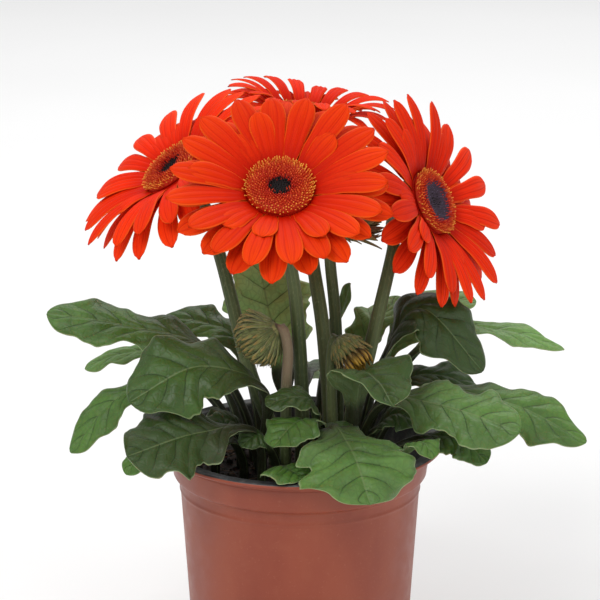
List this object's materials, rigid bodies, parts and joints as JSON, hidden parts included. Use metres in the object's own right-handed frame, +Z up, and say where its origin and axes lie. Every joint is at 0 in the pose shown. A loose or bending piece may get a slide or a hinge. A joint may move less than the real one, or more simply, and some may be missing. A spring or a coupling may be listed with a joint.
{
  "type": "potted gerbera",
  "caption": "Flowering gerbera daisy in a round plastic pot of soil, with red-orange blooms on bare stems above a crown of lobed leaves.",
  "frame": {"origin": "centre of the pot's underside, on the surface it stands on", "axes": "+Z up along the pot's axis, the plant seen from -Y with its widest blooms and leaves along X"},
  "size_m": [0.2266, 0.1793, 0.2525],
  "materials": {
    "pot": "satin",
    "soil": "matte",
    "stem": "matte",
    "leaf": "satin",
    "petal": "satin",
    "young_petal": "matte",
    "disc": "matte",
    "bud_floret": "matte"
  },
  "bodies": {
    "root": {"pot": "pot", "soil": "soil", "disc_back": "disc", "disc_centre": "disc", "disc_left": "disc", "disc_right": "disc", "florets_opening_bud": "bud_floret", "leaf_back_left": "leaf", "leaf_back_left_high": "leaf", "leaf_back_low": "leaf", "leaf_back_low_left": "leaf", "leaf_back_low_right": "leaf", "leaf_back_right": "leaf", "leaf_back_right_inner": "leaf", "leaf_back_upright": "leaf", "leaf_centre_front": "leaf", "leaf_centre_small": "leaf", "leaf_far_left": "leaf", "leaf_far_right": "leaf", "leaf_far_right_thin": "leaf", "leaf_front": "leaf", "leaf_front_low": "leaf", "leaf_left_inner": "leaf", "leaf_left_lower": "leaf", "leaf_left_middle": "leaf", "leaf_left_under": "leaf", "leaf_left_upper": "leaf", "leaf_right_dark": "leaf", "leaf_right_middle": "leaf", "leaf_right_small": "leaf", "leaf_right_under": "leaf", "leaf_right_upper": "leaf", "leaf_small_upright": "leaf", "leaf_young_front": "leaf", "rays_back": "petal", "rays_centre": "petal", "rays_half_open": "young_petal", "rays_left": "petal", "rays_right": "petal", "scape_back": "stem", "scape_centre": "stem", "scape_half_open": "stem", "scape_left": "stem", "scape_nodding_bud": "stem", "scape_opening_bud": "stem", "scape_right": "stem"}
  },
  "joints": []
}
